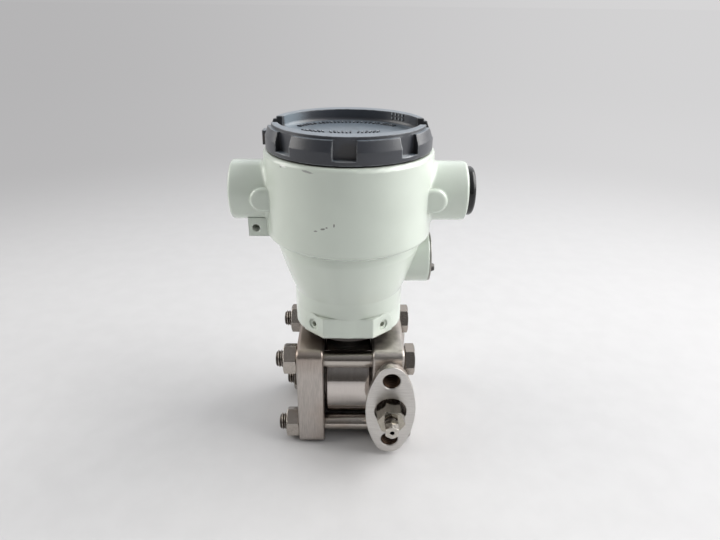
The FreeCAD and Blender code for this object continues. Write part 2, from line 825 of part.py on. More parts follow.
def cover():
    # Dished cover: threaded spigot below, a ring of lugs between pockets, a rim with two slots.
    spigot = cover_bore_radius - cover_spigot_clearance
    inside = spigot - cover_spigot_wall
    floor = cover_top - cover_recess_depth
    side_top = cover_base + cover_side_height
    lug_top = cover_base + cover_lug_height
    bottom = cover_base - cover_spigot_length
    outline = [(inside, bottom), (spigot, bottom), (spigot, cover_base), (cover_radius, cover_base)]
    outline += [(cover_radius, side_top), (cover_lug_radius, lug_top), (cover_disc_radius, lug_top)]
    outline += [(cover_disc_radius, cover_top), (0, cover_top)]
    outline += [(0, floor - cover_roof), (inside, floor - cover_roof)]
    body = turned(outline, Vector(), z_axis)
    tab_low = Vector(-seal_tab_radius, -seal_tab_width / 2, cover_base)
    tab_high = Vector(-cover_disc_radius, seal_tab_width / 2, cover_base + seal_tab_height)
    centre = Vector(0, 0, floor)
    wide = centre + Vector(recess_half_width, 0, 0)
    deep = centre + Vector(0, recess_half_depth, 0)
    recess = Part.Face(Part.Wire([Part.Ellipse(wide, deep, centre).toShape()]))
    dish = recess.extrude(Vector(0, 0, cover_recess_depth))
    dish_floor = edges_where(dish, lambda point: abs(point.z - floor) < 1e-6)
    cuts = [dish.makeFillet(recess_round, dish_floor)]
    for pocket in range(pocket_count):
        low = Vector(cover_disc_radius, -pocket_width / 2, cover_base + cover_base_height)
        high = Vector(seal_tab_radius, pocket_width / 2, cover_top)
        cut = block(low, high)
        cut.rotate(Vector(), z_axis, 360 * pocket / pocket_count - 90)
        cuts.append(cut)
    slot_low = Vector(-cover_radius, -slot_width / 2, floor)
    slot_high = Vector(cover_radius, slot_width / 2, cover_top)
    cuts.append(block(slot_low, slot_high))
    body = body.cut(cuts).fuse(block(tab_low, tab_high))
    body.rotate(Vector(), z_axis, cover_turn)
    return body


def cover_seal():
    spigot = cover_bore_radius - cover_spigot_clearance
    ring = spigot + cover_seal_section + cover_seal_gap
    seat = housing_top - cover_seal_bore_depth + cover_seal_section + cover_seal_gap
    return torus(ring, cover_seal_section, Vector(0, 0, seat), z_axis)


def terminal_places():
    for terminal in range(terminal_count):
        yield Vector((terminal - (terminal_count - 1) / 2) * terminal_pitch, 0, 0)


def terminal_block():
    # Moulded disc that closes the amplifier chamber, with ridges between its terminals.
    radius = chamber_inner_radius - block_clearance
    top = chamber_floor_z + block_height
    body = rod(radius, block_height, Vector(0, 0, chamber_floor_z), z_axis)
    for gap in range(terminal_count + 1):
        x = (gap - terminal_count / 2) * terminal_pitch
        low = Vector(x - block_ridge_width / 2, -block_ridge_length / 2, top)
        high = Vector(x + block_ridge_width / 2, block_ridge_length / 2, top + block_ridge_height)
        body = body.fuse(block(low, high))
    cuts = []
    for place in terminal_places():
        cuts.append(rod(terminal_radius, block_height, place + Vector(0, 0, chamber_floor_z), z_axis))
    for place in block_screw_places():
        cuts.append(rod(block_screw_radius, block_height, place + Vector(0, 0, chamber_floor_z), z_axis))
    return body.cut(cuts)


def terminal_screws():
    screws = []
    top = chamber_floor_z + block_height
    for place in terminal_places():
        seat = place + Vector(0, 0, top)
        head = slotted_head(terminal_head_radius, terminal_head_height, seat, z_axis)
        screws.append(head.fuse(rod(terminal_radius, block_height, seat, -z_axis)))
    return screws


def block_screws():
    screws = []
    top = chamber_floor_z + block_height
    for place in block_screw_places():
        seat = place + Vector(0, 0, top)
        head = slotted_head(block_screw_head_radius, block_screw_head_height, seat, z_axis)
        screws.append(head.fuse(rod(block_screw_radius, block_height + block_screw_depth, seat, -z_axis)))
    return screws


def board_posts():
    posts = []
    for place in post_places():
        foot = place + Vector(0, 0, lower_floor_z)
        post = hexagon(post_across_flats, post_height, foot, z_axis)
        top = foot + Vector(0, 0, post_height)
        posts.append(post.cut(rod(post_screw_radius, post_screw_depth, top, -z_axis)))
    return posts


def board_screws():
    screws = []
    for place in post_places():
        seat = place + Vector(0, 0, board_z + board_thickness)
        head = slotted_head(post_screw_head_radius, post_screw_head_height, seat, z_axis)
        depth = board_thickness + post_screw_depth
        screws.append(head.fuse(rod(post_screw_radius, depth, seat, -z_axis)))
    return screws


def amplifier_board():
    # Round circuit board with a trimmer in line with the adjuster and two larger chips.
    top = board_z + board_thickness
    board = rod(board_radius, board_thickness, Vector(0, 0, board_z), z_axis)
    trimmer_end = adjuster_end - turning_gap
    trimmer_low = Vector(trimmer_end - trimmer_size, -trimmer_size / 2, top)
    trimmer_high = Vector(trimmer_end, trimmer_size / 2, adjuster_z + trimmer_size / 2)
    board = board.fuse(block(trimmer_low, trimmer_high))
    for side in (-1, 1):
        centre = Vector(-chip_width / 2, side * chip_length / 2 + side * chip_height, top)
        low = centre - Vector(chip_width / 2, chip_length / 2, 0)
        high = centre + Vector(chip_width / 2, chip_length / 2, chip_height)
        board = board.fuse(block(low, high))
    cuts = []
    for place in post_places():
        cuts.append(rod(post_screw_radius, board_thickness, place + Vector(0, 0, board_z), z_axis))
    return board.cut(cuts)


def sensor_lead():
    # Flat lead from the board down to a socket over the header's pins.
    pin_top = spigot_top - header_inset + header_pin_height
    socket_low = pin_top + lead_socket_gap
    half = lead_socket_size / 2
    low = Vector(-half, -half, socket_low)
    high = Vector(half, half, socket_low + lead_socket_height)
    socket = block(low, high)
    strip_low = Vector(-lead_width / 2, -lead_thickness / 2, high.z)
    strip_high = Vector(lead_width / 2, lead_thickness / 2, board_z)
    return socket.fuse(block(strip_low, strip_high))


os.makedirs("parts", exist_ok=True)
save("process_flange", process_flange())
save("reference_flange", reference_flange())
save("flange_bolts", *flange_bolts())
save("flange_nuts", *flange_nuts())
save("capsule_body", capsule_body())
save("process_diaphragm", diaphragm(1))
save("reference_diaphragm", diaphragm(-1))
save("process_seal", flange_seal(1))
save("reference_seal", flange_seal(-1))
save("neck_seal", neck_seal())
save("sensor_header", sensor_header())
save("vent_valve_body", vent_valve_body())
save("vent_ball", vent_ball())
save("vent_screw", vent_screw())
save("housing", housing())
save("neck_set_screws", *neck_set_screws())
save("adjust_plate", adjust_plate())
save("plate_screw", plate_screw())
save("adjuster", adjuster())
save("conduit_plug", conduit_plug())
save("cover", cover())
save("cover_seal", cover_seal())
save("terminal_block", terminal_block())
save("terminal_screws", *terminal_screws())
save("block_screws", *block_screws())
save("amplifier_board", amplifier_board())
save("board_posts", *board_posts())
save("board_screws", *board_screws())
save("sensor_lead", sensor_lead())
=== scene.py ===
import bmesh
import bpy
import math
from mathutils import Matrix, Vector


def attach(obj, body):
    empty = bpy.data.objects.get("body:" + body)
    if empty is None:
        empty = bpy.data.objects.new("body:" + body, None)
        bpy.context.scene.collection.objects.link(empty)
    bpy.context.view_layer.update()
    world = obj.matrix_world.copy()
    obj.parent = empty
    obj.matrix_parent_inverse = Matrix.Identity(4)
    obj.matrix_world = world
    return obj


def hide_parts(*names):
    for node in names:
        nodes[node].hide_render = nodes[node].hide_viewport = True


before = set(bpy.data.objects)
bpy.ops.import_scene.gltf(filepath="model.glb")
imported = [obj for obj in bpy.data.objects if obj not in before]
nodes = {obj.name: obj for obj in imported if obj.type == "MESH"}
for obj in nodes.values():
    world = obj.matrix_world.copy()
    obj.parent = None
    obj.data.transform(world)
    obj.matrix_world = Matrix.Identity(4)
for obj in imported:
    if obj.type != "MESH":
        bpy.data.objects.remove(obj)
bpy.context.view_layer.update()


# Process flange and reference flange: two square stainless castings, milled flat where they seal.
# The process flange carries a pointed oval end front and back, faced on a lathe round its port,
# with two tapped holes above and below; the threads are cut with a 1.5 mm pitch.
def put(tree, kind, inputs=None, **settings):
    # One shader node; each input is given a plain value, or a socket to be joined to.
    node = tree.nodes.new("ShaderNode" + kind)
    for name, value in settings.items():
        setattr(node, name, value)
    for name, value in (inputs or {}).items():
        if isinstance(value, bpy.types.NodeSocket):
            tree.links.new(value, node.inputs[name])
        else:
            node.inputs[name].default_value = value
    return node


def reckon(tree, operation, first, second=0.0):
    return put(tree, "Math", {0: first, 1: second}, operation=operation).outputs[0]


def vector_sum(tree, operation, first, second=(0.0, 0.0, 0.0)):
    # A sum on vectors; it gives a vector, or a number where the operation measures something.
    measures = ("LENGTH", "DISTANCE", "DOT_PRODUCT")
    node = put(tree, "VectorMath", {0: first, 1: second}, operation=operation)
    return node.outputs["Value" if operation in measures else "Vector"]


def on_piece(tree):
    # Where a point lies on its piece, in metres of the part's frame.
    return put(tree, "TexCoord").outputs["Object"]


def parts(tree, whole):
    return put(tree, "SeparateXYZ", {0: whole}).outputs


def spread(tree, value, low, high, start=0.0, end=1.0):
    # Ease a value between two limits on to a new range.
    limits = {"Value": value, "From Min": low, "From Max": high, "To Min": start, "To Max": end}
    return put(tree, "MapRange", limits, interpolation_type="SMOOTHSTEP").outputs[0]


def blend(tree, share, first, second):
    return put(tree, "Mix", {0: share, 2: first, 3: second}, data_type="FLOAT").outputs[0]


def tint(tree, share, under, over):
    # Lay one colour over another; a plain colour is given as red, green and blue.
    colours = [under, over]
    for index, colour in enumerate(colours):
        if not isinstance(colour, bpy.types.NodeSocket):
            colours[index] = (*colour, 1.0)
    inputs = {0: share, 6: colours[0], 7: colours[1]}
    return put(tree, "Mix", inputs, data_type="RGBA").outputs[2]


def effect(name, wanted, given):
    # Start a node group with named inputs and outputs.
    tree = bpy.data.node_groups.new(name, "ShaderNodeTree")
    kinds = {float: "NodeSocketFloat", tuple: "NodeSocketVector"}
    for label, value in wanted.items():
        socket = tree.interface.new_socket(label, in_out="INPUT", socket_type=kinds[type(value)])
        socket.default_value = value
    for label, kind in given.items():
        tree.interface.new_socket(label, in_out="OUTPUT", socket_type=kinds[kind])
    return tree, tree.nodes.new("NodeGroupInput").outputs, tree.nodes.new("NodeGroupOutput").inputs


def group(tree, name, inputs):
    return put(tree, "Group", inputs, node_tree=bpy.data.node_groups[name]).outputs


def noise_at(tree, place, detail):
    return put(tree, "TexNoise", {"Vector": place, "Scale": 1.0, "Detail": detail}).outputs["Fac"]


# Fine grain: even lumps all over a piece; the scale counts lumps per metre.
grain_tree, grain_in, grain_out = effect(
    "fine_grain", {"Scale": 100.0, "Detail": 2.0}, {"Value": float})
lumps = {name: grain_in[name] for name in ("Scale", "Detail")}
lumps = put(grain_tree, "TexNoise", {"Vector": on_piece(grain_tree), **lumps})
grain_tree.links.new(lumps.outputs["Fac"], grain_out["Value"])


def grain(tree, scale, detail):
    return group(tree, "fine_grain", {"Scale": scale, "Detail": detail})["Value"]


# Rubbed edges: outer corners worn a little round and bright, broken up along their length.
rub_tree, rub_in, rub_out = effect(
    "rubbed_edges", {"Radius": 0.0006, "Patches": 400.0}, {"Mask": float, "Normal": tuple})
rounded = put(rub_tree, "Bevel", {"Radius": rub_in["Radius"]}, samples=6).outputs["Normal"]
flat = put(rub_tree, "NewGeometry").outputs["Normal"]
together = vector_sum(rub_tree, "DOT_PRODUCT", rounded, flat)
corner = spread(rub_tree, reckon(rub_tree, "SUBTRACT", 1.0, together), 0.015, 0.2)
reach = {"Distance": reckon(rub_tree, "MULTIPLY", rub_in["Radius"], 3.0)}
open_air = put(rub_tree, "AmbientOcclusion", reach, samples=6, only_local=True).outputs["AO"]
outer = reckon(rub_tree, "MULTIPLY", corner, spread(rub_tree, open_air, 0.7, 0.92))
patches = spread(rub_tree, grain(rub_tree, rub_in["Patches"], 3.0), 0.3, 0.62)
rub_tree.links.new(reckon(rub_tree, "MULTIPLY", outer, patches), rub_out["Mask"])
rub_tree.links.new(rounded, rub_out["Normal"])

# Grime and painted shade: dirt held in inner corners and gaps, in uneven patches, laid by how shut
# in the surface is, so it also darkens where shade falls.
shade_grime_tree, shade_grime_in, shade_grime_out = effect(
    "grime_and_painted_shade", {"Distance": 0.004, "Patches": 220.0}, {"Mask": float})
reach = {"Distance": shade_grime_in["Distance"]}
shut_in = put(shade_grime_tree, "AmbientOcclusion", reach, samples=8).outputs["AO"]
held = spread(shade_grime_tree, reckon(shade_grime_tree, "SUBTRACT", 1.0, shut_in), 0.18, 0.85)
uneven = spread(shade_grime_tree, grain(shade_grime_tree, shade_grime_in["Patches"], 4.0), 0.25, 0.7, 0.45, 1.0)
shade_grime_tree.links.new(reckon(shade_grime_tree, "MULTIPLY", held, uneven), shade_grime_out["Mask"])

# Round axes: distance from the nearest of four parallel axes that stand even about a middle point.
axes_tree, axes_in, axes_out = effect(
    "round_axes",
    {"Middle": (0.0, 0.0, 0.0), "Arms": (0.0, 0.0, 0.0), "Across": (1.0, 1.0, 1.0)},
    {"Radius": float})
folded = vector_sum(axes_tree, "SUBTRACT", on_piece(axes_tree), axes_in["Middle"])
folded = vector_sum(axes_tree, "ABSOLUTE", folded)
folded = vector_sum(axes_tree, "SUBTRACT", folded, axes_in["Arms"])
folded = vector_sum(axes_tree, "MULTIPLY", folded, axes_in["Across"])
axes_tree.links.new(vector_sum(axes_tree, "LENGTH", folded), axes_out["Radius"])

# Tool streaks: fine lines left by a cutter or a belt, long one way and close together the other.
streak_tree, streak_in, streak_out = effect(
    "tool_streaks", {"Stretch": (60.0, 60.0, 4000.0)}, {"Value": float})
stretched = vector_sum(streak_tree, "MULTIPLY", on_piece(streak_tree), streak_in["Stretch"])
streak_tree.links.new(noise_at(streak_tree, stretched, 4.0), streak_out["Value"])


def finish_start(name):
    # A new material with its shader, cleared of anything else.
    material = bpy.data.materials.new(name)
    material.use_nodes = True
    tree = material.node_tree
    tree.nodes.clear()
    shader = put(tree, "BsdfPrincipled")
    put(tree, "OutputMaterial", {"Surface": shader.outputs[0]})
    return material, tree, shader


def relief(tree, shader, strength, depth, height, normal):
    # Fine unevenness of a surface, laid on its rounded corners.
    settings = {"Strength": strength, "Distance": depth, "Height": height, "Normal": normal}
    tree.links.new(put(tree, "Bump", settings).outputs["Normal"], shader.inputs["Normal"])


def steel(name, tone, roughness, stretch, dirt_and_shade, edge=0.0005, depth=0.00003, vary=0.16, extra=None):
    # Bare metal: streaks from the tool, bright rubbed corners, brown dirt and painted shade in the
    # corners.
    # An extra function may change the streaks and the colour, for the piece's own marks and for
    # painted shade and painted reflection, and may lay a dull film over it.
    material, tree, shader = finish_start(name)
    shader.inputs["Metallic"].default_value = 1.0
    streaks = group(tree, "tool_streaks", {"Stretch": stretch})["Value"]
    rub = group(tree, "rubbed_edges", {"Radius": edge})
    grime_and_shade = group(tree, "grime_and_painted_shade", {"Distance": 0.006})["Mask"]
    dull = [part * (1.0 - vary) for part in tone]
    bright = [min(1.0, part * (1.0 + vary)) for part in tone]
    brown = [part * share for part, share in zip(tone, (0.86, 0.72, 0.62))]
    # Old dirt brown, laid together with painted shade in the corners.
    old_dirt_and_shade = (0.075, 0.05, 0.035)
    bare = (0.9, 0.88, 0.85)
    colour = tint(tree, spread(tree, streaks, 0.25, 0.75), dull, bright)
    clouds = spread(tree, grain(tree, 55.0, 4.0), 0.35, 0.75, 0.0, 0.35)
    colour = tint(tree, clouds, colour, dull)
    stains = spread(tree, grain(tree, 30.0, 3.0), 0.5, 0.75, 0.0, 0.5)
    colour = tint(tree, stains, colour, brown)
    film = None
    if extra:
        streaks, colour, film = extra(tree, streaks, colour)
    colour = tint(tree, reckon(tree, "MULTIPLY", grime_and_shade, dirt_and_shade), colour, old_dirt_and_shade)
    bared = 0.5
    if film:
        bared = reckon(tree, "SUBTRACT", bared, film)
    colour = tint(tree, reckon(tree, "MULTIPLY", rub["Mask"], bared), colour, bare)
    tree.links.new(colour, shader.inputs["Base Color"])
    rough = spread(tree, streaks, 0.2, 0.8, roughness - 0.05, roughness + 0.07)
    rough = reckon(tree, "ADD", rough, reckon(tree, "MULTIPLY", grime_and_shade, 0.25))
    if film:
        rough = reckon(tree, "ADD", rough, film)
    tree.links.new(rough, shader.inputs["Roughness"])
    relief(tree, shader, 0.5, depth, streaks, rub["Normal"])
    return material


def dress(material, *names):
    # Give CAD nodes their material.
    for name in names:
        nodes[name].material_slots[0].material = material


axis_y = -0.039
face_out = 0.042
hole_rise = 0.02065


def turned_face(tree, streaks, colour):
    # Fine bright rings round the port on the two oval faces, in place of the streaks elsewhere.
    place = on_piece(tree)
    split = parts(tree, place)
    across = put(tree, "CombineXYZ", {0: split["X"], 2: split["Z"]}).outputs[0]
    radius = reckon(tree, "MULTIPLY", vector_sum(tree, "LENGTH", across), 2600.0)
    rings = noise_at(tree, put(tree, "CombineXYZ", {0: radius}).outputs[0], 3.0)
    aslant = {"Vector": place, "Rotation": (0.0, 0.7, 0.0), "Scale": (110.0, 1.0, 2400.0)}
    scratches = noise_at(tree, put(tree, "Mapping", aslant).outputs[0], 4.0)
    rings = blend(tree, 0.6, rings, scratches)
    from_middle = reckon(tree, "ABSOLUTE", reckon(tree, "SUBTRACT", split["Y"], axis_y))
    on_face = spread(tree, from_middle, face_out - 0.0006, face_out - 0.0002)
    darker, lighter = (0.52, 0.5, 0.48), (0.68, 0.66, 0.635)
    ring_tone = tint(tree, spread(tree, rings, 0.3, 0.7), darker, lighter)
    return blend(tree, on_face, streaks, rings), tint(tree, on_face, colour, ring_tone), None


process_steel = steel(
    "milled_process_steel", tone=(0.52, 0.48, 0.445), roughness=0.34,
    stretch=(260.0, 260.0, 2600.0), dirt_and_shade=0.8, edge=0.0008, extra=turned_face)
dress(process_steel, "process_flange")


def browner_top(tree, streaks, colour):
    # Browner along the upper edge of the plain flange, fading downwards.
    ragged = reckon(tree, "MULTIPLY", grain(tree, 140.0, 3.0), 0.008)
    height = reckon(tree, "ADD", parts(tree, on_piece(tree))["Z"], ragged)
    share = reckon(tree, "MULTIPLY", spread(tree, height, 0.018, 0.034), 0.45)
    return streaks, tint(tree, share, colour, (0.3, 0.225, 0.18)), None


reference_steel = steel(
    "milled_reference_steel", tone=(0.5, 0.46, 0.43), roughness=0.34,
    stretch=(2600.0, 2600.0, 160.0), dirt_and_shade=0.85, edge=0.001, extra=browner_top)
dress(reference_steel, "reference_flange")


def thread_height(turn, run, pitch):
    # Height of a vee thread, from 0 in the root to 1 on the crest.
    phase = (run / pitch - turn) % 1.0
    slope = 1.0 - abs(2.0 * phase - 1.0)
    return min(1.0, max(0.0, 1.35 * slope - 0.15))


def along_line(start, direction):
    # Place a piece that was made on the Z axis so that it runs along a line.
    turn = Vector((0, 0, 1)).rotation_difference(Vector(direction))
    return Matrix.Translation(Vector(start)) @ turn.to_matrix().to_4x4()


def round_corner(mesh, place, radius, angle, run):
    # One corner of a round mesh, by its radius, its angle and its run along the axis.
    spot = Vector((radius * math.cos(angle), radius * math.sin(angle), run))
    return mesh.verts.new(place @ spot)


def bore_thread(mesh, wall, crest, pitch, length, start, direction):
    # Thread on the inside of a tapped hole: a sleeve whose back is buried in the wall.
    around = 48
    buried = wall + 0.0003
    steps = int(length / pitch * 8)
    place = along_line(start, direction)
    turns = [side / around for side in range(around)]
    loop = []
    for step in range(steps + 1):
        run = length * step / steps
        fade = min(1.0, run / pitch, (length - run) / pitch)
        ring = []
        for turn in turns:
            lift = thread_height(turn, run, pitch) * fade
            radius = wall - (wall - crest) * lift + 0.00002 * (1 - fade)
            ring.append(round_corner(mesh, place, radius, 2 * math.pi * turn, run))
        loop.append(ring)
    for run in (length, 0.0):
        loop.append([round_corner(mesh, place, buried, 2 * math.pi * turn, run) for turn in turns])
    for low, high in zip(loop, loop[1:] + loop[:1]):
        for side in range(around):
            following = (side + 1) % around
            mesh.faces.new((low[side], high[side], high[following], low[following]))


def piece_from(mesh, name, material, body):
    # Turn a finished mesh into a piece that rides on a body, smooth except at sharp corners.
    bmesh.ops.recalc_face_normals(mesh, faces=mesh.faces)
    data = bpy.data.meshes.new(name)
    mesh.to_mesh(data)
    mesh.free()
    data.materials.append(material)
    data.shade_smooth()
    data.set_sharp_from_angle(angle=math.radians(35.0))
    piece = bpy.data.objects.new(name, data)
    bpy.context.scene.collection.objects.link(piece)
    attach(piece, body)
    return piece


tapped = bmesh.new()
hole_thread = {"wall": 0.0049, "crest": 0.0042, "pitch": 0.0015, "length": 0.0113}
port_thread = {"wall": 0.0056, "crest": 0.0048, "pitch": 0.0014, "length": 0.0155}
for outward in (1, -1):
    for z in (-hole_rise, hole_rise):
        start = (0.0, axis_y + outward * (face_out - 0.0005), z)
        bore_thread(tapped, start=start, direction=(0, -outward, 0), **hole_thread)
bore_thread(tapped, start=(0.0, 0.0, 0.0), direction=(0, -1, 0), **port_thread)


def rusty_bore(tree, streaks, colour):
    # Brown film in the thread's roots, thinner on its crests.
    holes = {"Arms": (0.0, 0.0, hole_rise), "Across": (1.0, 0.0, 1.0)}
    radius = group(tree, "round_axes", holes)["Radius"]
    share = spread(tree, radius, 0.0043, 0.0048, 0.15, 0.95)
    return streaks, tint(tree, share, colour, (0.02, 0.012, 0.008)), None


tapped_steel = steel(
    "tapped_steel", tone=(0.19, 0.125, 0.09), roughness=0.42,
    stretch=(900.0, 900.0, 900.0), dirt_and_shade=0.9, extra=rusty_bore)
piece_from(tapped, "flange_threads", tapped_steel, "sensor")


# Measuring capsule: one turned stainless body with its stem and the spigot that carries the housing.
# The lathe leaves fine rings round each axis, and a thin wavy diaphragm is welded in each end.
# The seals are moulded rubber rings; the header holds the contact pins in glass.
def shaded_stem(tree, streaks, colour):
    # Painted shade: a dark, dull film on the stem, under the housing's neck.
    under_neck_shade = spread(tree, parts(tree, on_piece(tree))["Z"], 0.0215, 0.0252, 0.0, 0.45)
    share = reckon(tree, "MULTIPLY", under_neck_shade, 1.9)
    return streaks, tint(tree, share, colour, (0.03, 0.026, 0.023)), under_neck_shade


capsule_steel = steel(
    "turned_capsule_steel", tone=(0.62, 0.575, 0.545), roughness=0.1,
    stretch=(5200.0, 120.0, 120.0), dirt_and_shade=0.85, depth=0.000004, vary=0.06, extra=shaded_stem)
dress(capsule_steel, "capsule_body")
diaphragm_steel = steel(
    "rolled_diaphragm_steel", tone=(0.66, 0.65, 0.63), roughness=0.2,
    stretch=(900.0, 900.0, 900.0), dirt_and_shade=0.5)
dress(diaphragm_steel, "process_diaphragm", "reference_diaphragm", "sensor_header")


def moulded(name, colour, roughness, pebble, depth):
    # Moulded rubber or plastic: a fine pebbled skin, a little dust and painted shade in inner
    # corners, slightly paler at its outer corners.
    material, tree, shader = finish_start(name)
    skin = grain(tree, pebble, 3.0)
    rub = group(tree, "rubbed_edges", {"Radius": 0.0004})
    grime_and_shade = group(tree, "grime_and_painted_shade", {"Distance": 0.003})["Mask"]
    pale = [min(1.0, part * 1.5 + 0.01) for part in colour]
    # Dust brown, laid together with painted shade by the grime mask.
    dust_and_painted_light = (0.16, 0.14, 0.12)
    tone = tint(tree, spread(tree, grain(tree, 90.0, 4.0), 0.3, 0.75, 0.0, 0.5), colour, pale)
    tone = tint(tree, reckon(tree, "MULTIPLY", grime_and_shade, 0.3), tone, dust_and_painted_light)
    tone = tint(tree, reckon(tree, "MULTIPLY", rub["Mask"], 0.5), tone, pale)
    tree.links.new(tone, shader.inputs["Base Color"])
    rough = spread(tree, skin, 0.25, 0.75, roughness - 0.06, roughness + 0.08)
    tree.links.new(rough, shader.inputs["Roughness"])
    relief(tree, shader, 0.4, depth, skin, rub["Normal"])
    return material


seal_rubber = moulded(
    "seal_rubber", colour=(0.012, 0.012, 0.013), roughness=0.55, pebble=2500.0, depth=0.00004)
dress(seal_rubber, "process_seal", "reference_seal", "neck_seal", "cover_seal")


# Four long stainless bolts clamp the flanges over the capsule. Each has a forged hexagon head whose
# corners are turned off, a plain ground shank and a rolled thread that ends in a short chamfer.
# Their nuts are cut from hexagon bar and sit on the reference flange.
bolt_arm = 0.02325
bolt_seat = 0.0079
# Brown for the heads, and for the painted reflection on facets that look up.
brown_tint_and_reflection = (0.2, 0.165, 0.135)

# Facing up: a mask for what looks up, between two upward parts of the surface's direction; it lays
# dust, painted sheen and painted reflection.
up_tree, up_in, up_out = effect("facing_up", {"Low": 0.25, "High": 0.9}, {"Mask": float})
upward = parts(up_tree, put(up_tree, "NewGeometry").outputs["Normal"])["Z"]
up_tree.links.new(spread(up_tree, upward, up_in["Low"], up_in["High"]), up_out["Mask"])


def dirty_roots_and_reflection(tree, streaks, colour):
    # Dark oily roots along the rolled thread, its crests left bright; browner heads, and a painted
    # dark reflection on the facets that look up.
    bolts = {"Middle": (0.0, axis_y, 0.0), "Arms": (0.0, bolt_arm, bolt_arm)}
    radius = group(tree, "round_axes", {"Across": (0.0, 1.0, 1.0), **bolts})["Radius"]
    run = parts(tree, on_piece(tree))["X"]
    deep = spread(tree, radius, 0.0044, 0.0049, 1.0, 0.0)
    root = reckon(tree, "MULTIPLY", deep, spread(tree, run, -0.0548, -0.0543, 1.0, 0.0))
    colour = tint(tree, reckon(tree, "MULTIPLY", root, 0.95), colour, (0.035, 0.024, 0.016))
    head = spread(tree, run, bolt_seat - 0.0003, bolt_seat + 0.0003, 0.0, 0.3)
    upward_reflection = reckon(tree, "MULTIPLY", group(tree, "facing_up", {})["Mask"], 0.35)
    share = reckon(tree, "ADD", head, upward_reflection)
    return streaks, tint(tree, share, colour, brown_tint_and_reflection), None


bolt_steel = steel(
    "ground_bolt_steel", tone=(0.52, 0.48, 0.44), roughness=0.18,
    stretch=(700.0, 2200.0, 2200.0), dirt_and_shade=0.9, edge=0.0003, depth=0.00001, vary=0.1,
    extra=dirty_roots_and_reflection)


def painted_top_reflection(tree, streaks, colour):
    # Painted reflection: dark brown on the facets that look up, in place of the dark room above
    # them.
    upward_reflection = reckon(tree, "MULTIPLY", group(tree, "facing_up", {})["Mask"], 0.6)
    return streaks, tint(tree, upward_reflection, colour, brown_tint_and_reflection), None


hex_steel = steel(
    "forged_hex_steel", tone=(0.48, 0.44, 0.4), roughness=0.2,
    stretch=(900.0, 900.0, 900.0), dirt_and_shade=0.9, edge=0.0006, extra=painted_top_reflection)
dress(hex_steel, "flange_nuts")


def skin_rings(mesh, rings):
    # Skin through rings of corners, capped at both ends; the last cap is handed back.
    for low, high in zip(rings, rings[1:]):
        for side in range(len(low)):
            following = (side + 1) % len(low)
            mesh.faces.new((low[side], low[following], high[following], high[side]))
    mesh.faces.new(list(reversed(rings[0])))
    return mesh.faces.new(rings[-1])


def ring_rows(mesh, place, rows, around):
    # Round form through rows of (radius, height), either of which may change with the angle.
    rings = []
    for radius, run in rows:
        ring = []
        for side in range(around):
            angle = 2 * math.pi * side / around
            out = radius(angle) if callable(radius) else radius
            lift = run(angle) if callable(run) else run
            ring.append(round_corner(mesh, place, out, angle, lift))
        rings.append(ring)
    skin_rings(mesh, rings)


def hex_radius(across_flats, turn):
    def radius(angle):
        part = (angle - turn) % (math.pi / 3) - math.pi / 6
        return across_flats / 2 / math.cos(part)
    return radius


def flange_bolt(mesh, seat):
    # Head outwards along +X, shank and thread along -X.
    flats = 0.016
    head = 0.006
    chamfer = 0.0009
    outline = hex_radius(flats, math.radians(30))
    corner = flats / math.sqrt(3)
    slope = chamfer / (corner - flats / 2 + chamfer)

    def top(angle):
        return head - (outline(angle) - flats / 2) * slope

    outward = along_line(seat, (1, 0, 0))
    washer = flats / 2 * 0.93
    rows = [(washer, 0.0), (washer, 0.0005), (outline, 0.0006), (outline, top)]
    rows += [(flats / 2 * 0.985, head), (flats / 2 * 0.6, head + 0.00005)]
    ring_rows(mesh, outward, rows, around=72)

    shank = 0.0742
    radius = 0.005
    root = 0.00425
    pitch = 0.0015
    thread_from = 0.0622
    steps = 112
    inward = along_line(seat, (-1, 0, 0))
    rows = [(radius, -0.001), (radius, 0.03), (radius, thread_from)]
    for step in range(steps + 1):
        run = thread_from + (shank - thread_from) * step / steps
        limit = min(radius, radius - 0.0012 + (shank - run))
        dome = 0.0003 if step == steps else 0.0

        def out(angle, run=run, limit=limit, dome=dome):
            lift = thread_height(angle / (2 * math.pi), run, pitch)
            return min(limit, root + (radius - root) * lift) - dome

        rows.append((out, run))
    rows.append((0.002, shank + 0.0003))
    ring_rows(mesh, inward, rows, around=48)


bolts = bmesh.new()
for y in (axis_y - bolt_arm, axis_y + bolt_arm):
    for z in (-bolt_arm, bolt_arm):
        flange_bolt(bolts, (bolt_seat, y, z))
bolt_piece = piece_from(bolts, "flange_bolts_threaded", bolt_steel, "sensor")
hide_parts("flange_bolts")


# Vent valve in the front port: a hexagonal body, the small screw that opens it and its ball.
# They are turned from stainless bar, with the hexagons left as drawn and the corners turned off.
vent_finish = {"roughness": 0.13, "stretch": (800.0, 160.0, 800.0)}
vent_finish.update({"edge": 0.00025, "depth": 0.000006})
vent_body_steel = steel(
    "drawn_vent_body_steel", tone=(0.42, 0.39, 0.335), dirt_and_shade=0.95, **vent_finish)
dress(vent_body_steel, "vent_valve_body")
vent_screw_steel = steel(
    "drawn_vent_screw_steel", tone=(0.55, 0.52, 0.475), dirt_and_shade=0.9, **vent_finish)
dress(vent_screw_steel, "vent_ball", "vent_screw")


# Housing: one aluminium casting, machined inside and at its bosses, then sprayed pale green-white.
# The paint has a fine orange-peel skin; a few knocks show on the front, dirt and painted shade stay
# in corners, and painted light lies in the earth hole.

